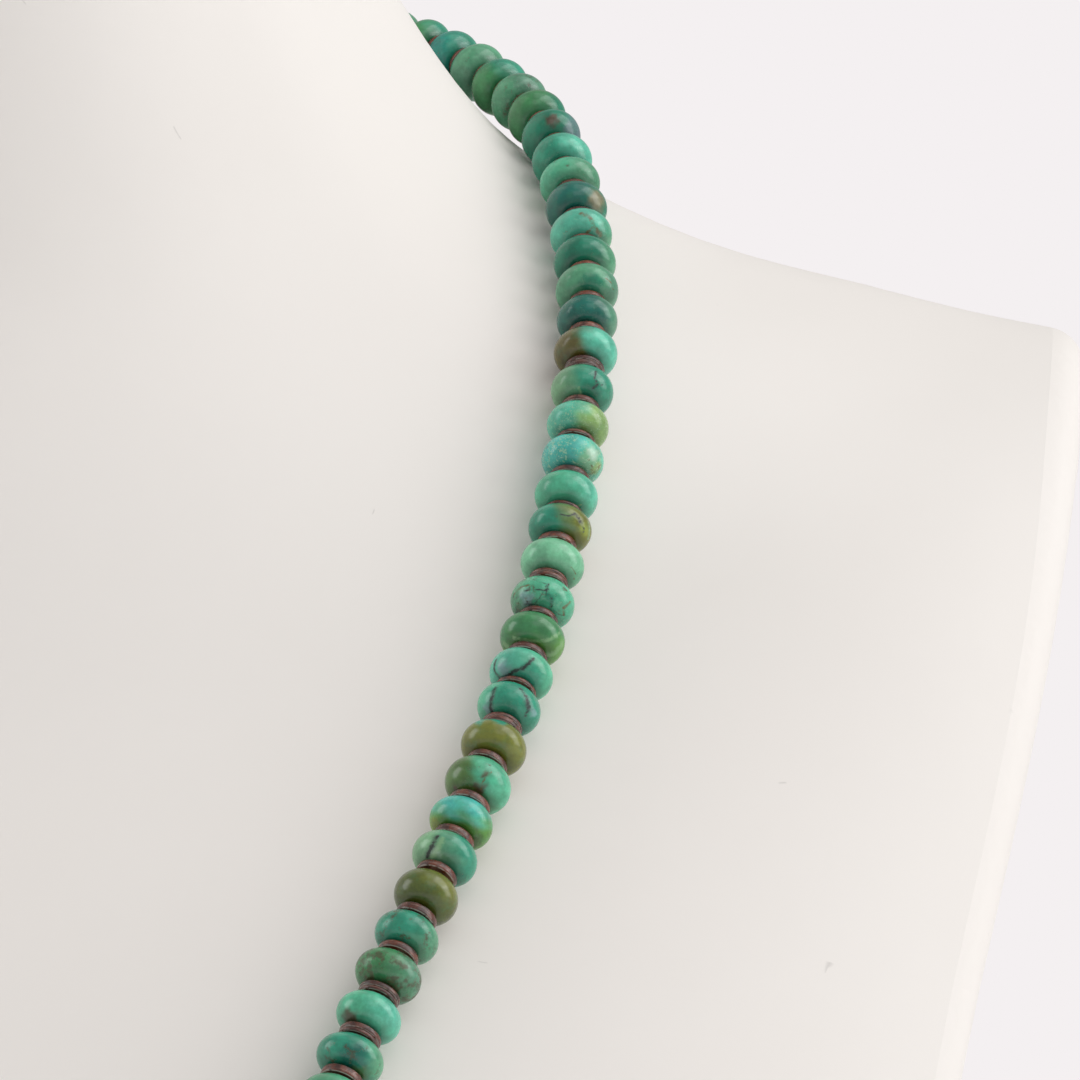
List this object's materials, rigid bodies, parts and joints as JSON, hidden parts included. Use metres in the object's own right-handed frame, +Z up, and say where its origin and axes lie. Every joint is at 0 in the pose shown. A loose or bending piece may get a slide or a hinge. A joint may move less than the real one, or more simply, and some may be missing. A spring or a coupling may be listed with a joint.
{
  "type": "turquoise bead necklace on a neck bust",
  "caption": "Necklace strung of rounded turquoise beads with thin brown shell spacers and a barrel clasp, worn on a plain white display neck bust.",
  "frame": {"origin": "middle of the whole part's box, on the flat base of the bust", "axes": "+Z up along the neck, -Y out of the chest, +X to the shoulder at the picture's right"},
  "size_m": [0.2282, 0.1742, 0.245],
  "materials": {
    "turquoise": "polished stone",
    "shell": "polished shell",
    "thread": "twisted",
    "clasp_metal": "satin silver",
    "bust_white": "matte"
  },
  "bodies": {
    "root": {"turquoise_beads": "turquoise", "shell_spacers": "shell", "thread": "thread", "clasp": "clasp_metal", "neck_bust": "bust_white"}
  },
  "joints": []
}
